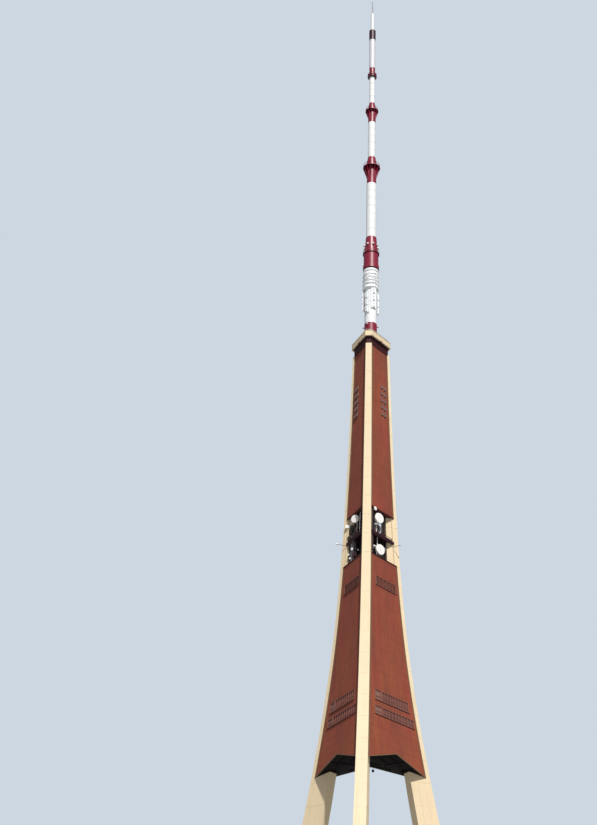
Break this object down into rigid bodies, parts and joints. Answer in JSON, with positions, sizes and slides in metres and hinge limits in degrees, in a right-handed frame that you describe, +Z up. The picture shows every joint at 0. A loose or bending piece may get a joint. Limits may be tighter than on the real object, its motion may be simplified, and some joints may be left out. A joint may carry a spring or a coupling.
{
  "type": "tripod radio mast, 1:10 scale model",
  "caption": "Tall tripod radio mast: tapering box legs carry a clad body in two parts with open dish storeys between, a flat cap and a stacked red and white tube antenna.",
  "frame": {"origin": "middle of the footings' bounding box on the ground plane; the tower's axis stands 858 mm towards +Y from it", "axes": "+Z up the tower; -Y towards the front leg, +X to the right of it"},
  "size_m": [7.682, 6.6528, 36.85],
  "materials": {
    "concrete": "rough cast concrete",
    "cream_paint": "satin cream paint",
    "rust_cladding": "weathered brown cladding",
    "maroon_paint": "dark maroon paint",
    "dark_steel": "dark paint",
    "glazing": "tinted glass",
    "white_cover": "satin white covers",
    "red_paint": "satin signal red paint",
    "grey_steel": "galvanised grey"
  },
  "bodies": {
    "root": {"front_footing": "concrete", "right_footing": "concrete", "left_footing": "concrete", "front_lower_leg": "cream_paint", "right_lower_leg": "cream_paint", "left_lower_leg": "cream_paint", "front_upper_leg": "cream_paint", "right_upper_leg": "cream_paint", "left_upper_leg": "cream_paint", "right_lower_wall": "rust_cladding", "left_lower_wall": "rust_cladding", "back_lower_wall": "rust_cladding", "right_upper_wall": "rust_cladding", "left_upper_wall": "rust_cladding", "back_upper_wall": "rust_cladding", "body_soffit": "dark_steel", "observation_floor": "dark_steel", "gallery_floor": "dark_steel", "middle_floor": "dark_steel", "gap_deck": "maroon_paint", "gap_platform": "maroon_paint", "gap_ceiling": "maroon_paint", "service_shaft": "dark_steel", "large_dishes": "white_cover", "small_dishes": "white_cover", "link_posts": "grey_steel", "platform_rails": "grey_steel", "observation_glass": "glazing", "gallery_glass": "glazing", "middle_louvres": "maroon_paint", "panel_arrays": "grey_steel", "cap_band": "maroon_paint", "cap_deck": "dark_steel", "cap_fascia": "cream_paint", "antenna_foot": "red_paint", "antenna_lower": "white_cover", "antenna_lower_collar": "red_paint", "antenna_middle": "white_cover", "antenna_middle_collar": "red_paint", "antenna_upper": "white_cover", "antenna_upper_collar": "red_paint", "antenna_top": "white_cover", "antenna_top_collar": "red_paint", "antenna_crown": "white_cover", "spire": "grey_steel"}
  },
  "joints": []
}
